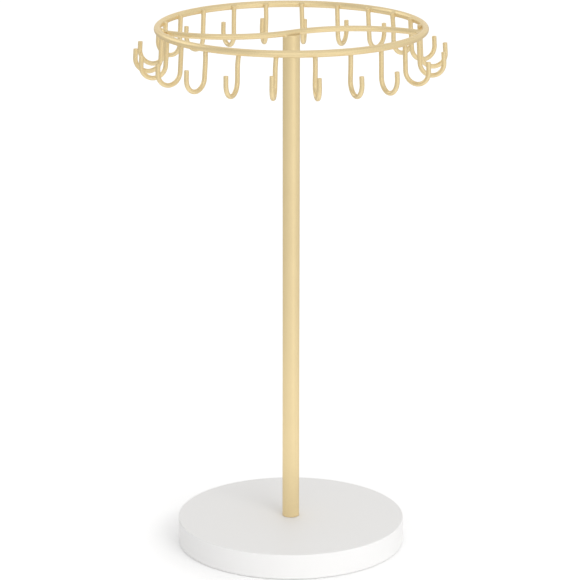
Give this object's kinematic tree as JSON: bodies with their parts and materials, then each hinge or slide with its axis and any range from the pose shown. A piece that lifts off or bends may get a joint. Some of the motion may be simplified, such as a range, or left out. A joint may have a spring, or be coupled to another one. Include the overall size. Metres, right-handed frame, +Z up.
{
  "type": "necklace stand",
  "caption": "Round free-standing necklace stand: a slim mast turns on a lacquered disc base and carries a wire hoop with open J-hooks hanging from it all round.",
  "frame": {"origin": "on the mast's axis, on the surface that the foam pad rests on", "axes": "+Z up along the mast, -Y towards the viewer of the reference view, +X to the viewer's right"},
  "size_m": [0.1885, 0.1882, 0.3263],
  "materials": {
    "gold_coating": "satin pale gold coating on steel wire and tube",
    "white_lacquer": "white gloss lacquer on medium density fibreboard",
    "pad_foam": "matte closed-cell foam",
    "bearing_steel": "ground bearing steel",
    "zinc_steel": "zinc plated steel"
  },
  "bodies": {
    "base": {"base_disc": "white_lacquer", "base_pad": "pad_foam", "bearing_outer_ring": "bearing_steel", "bearing_shields": "bearing_steel", "bearing_retainer": "zinc_steel", "retainer_screws": "zinc_steel"},
    "mast": {"mast_tube": "gold_coating", "mast_top_plug": "gold_coating", "mast_foot_plug": "zinc_steel", "pivot_screw": "zinc_steel", "pivot_washer": "zinc_steel", "bearing_inner_ring": "bearing_steel", "hoop": "gold_coating", "brace_wire": "gold_coating", "hook_01": "gold_coating", "hook_02": "gold_coating", "hook_03": "gold_coating", "hook_04": "gold_coating", "hook_05": "gold_coating", "hook_06": "gold_coating", "hook_07": "gold_coating", "hook_08": "gold_coating", "hook_09": "gold_coating", "hook_10": "gold_coating", "hook_11": "gold_coating", "hook_12": "gold_coating", "hook_13": "gold_coating", "hook_14": "gold_coating", "hook_15": "gold_coating", "hook_16": "gold_coating", "hook_17": "gold_coating", "hook_18": "gold_coating", "hook_19": "gold_coating", "hook_20": "gold_coating", "hook_21": "gold_coating", "hook_22": "gold_coating"},
    "ball_train": {"bearing_balls": "bearing_steel", "bearing_cage": "bearing_steel"}
  },
  "joints": [
    {"name": "mast_spin", "type": "hinge", "parent": "base", "child": "mast", "pos_m": [0, 0, 0.0095], "axis": [0, 0, 1], "continuous": true},
    {"name": "cage_spin", "type": "hinge", "parent": "base", "child": "ball_train", "pos_m": [0, 0, 0.0095], "axis": [0, 0, 1], "continuous": true}
  ],
  "couplings": [
    {"joint": "cage_spin", "follows": "mast_spin", "ratio": 0.36}
  ]
}
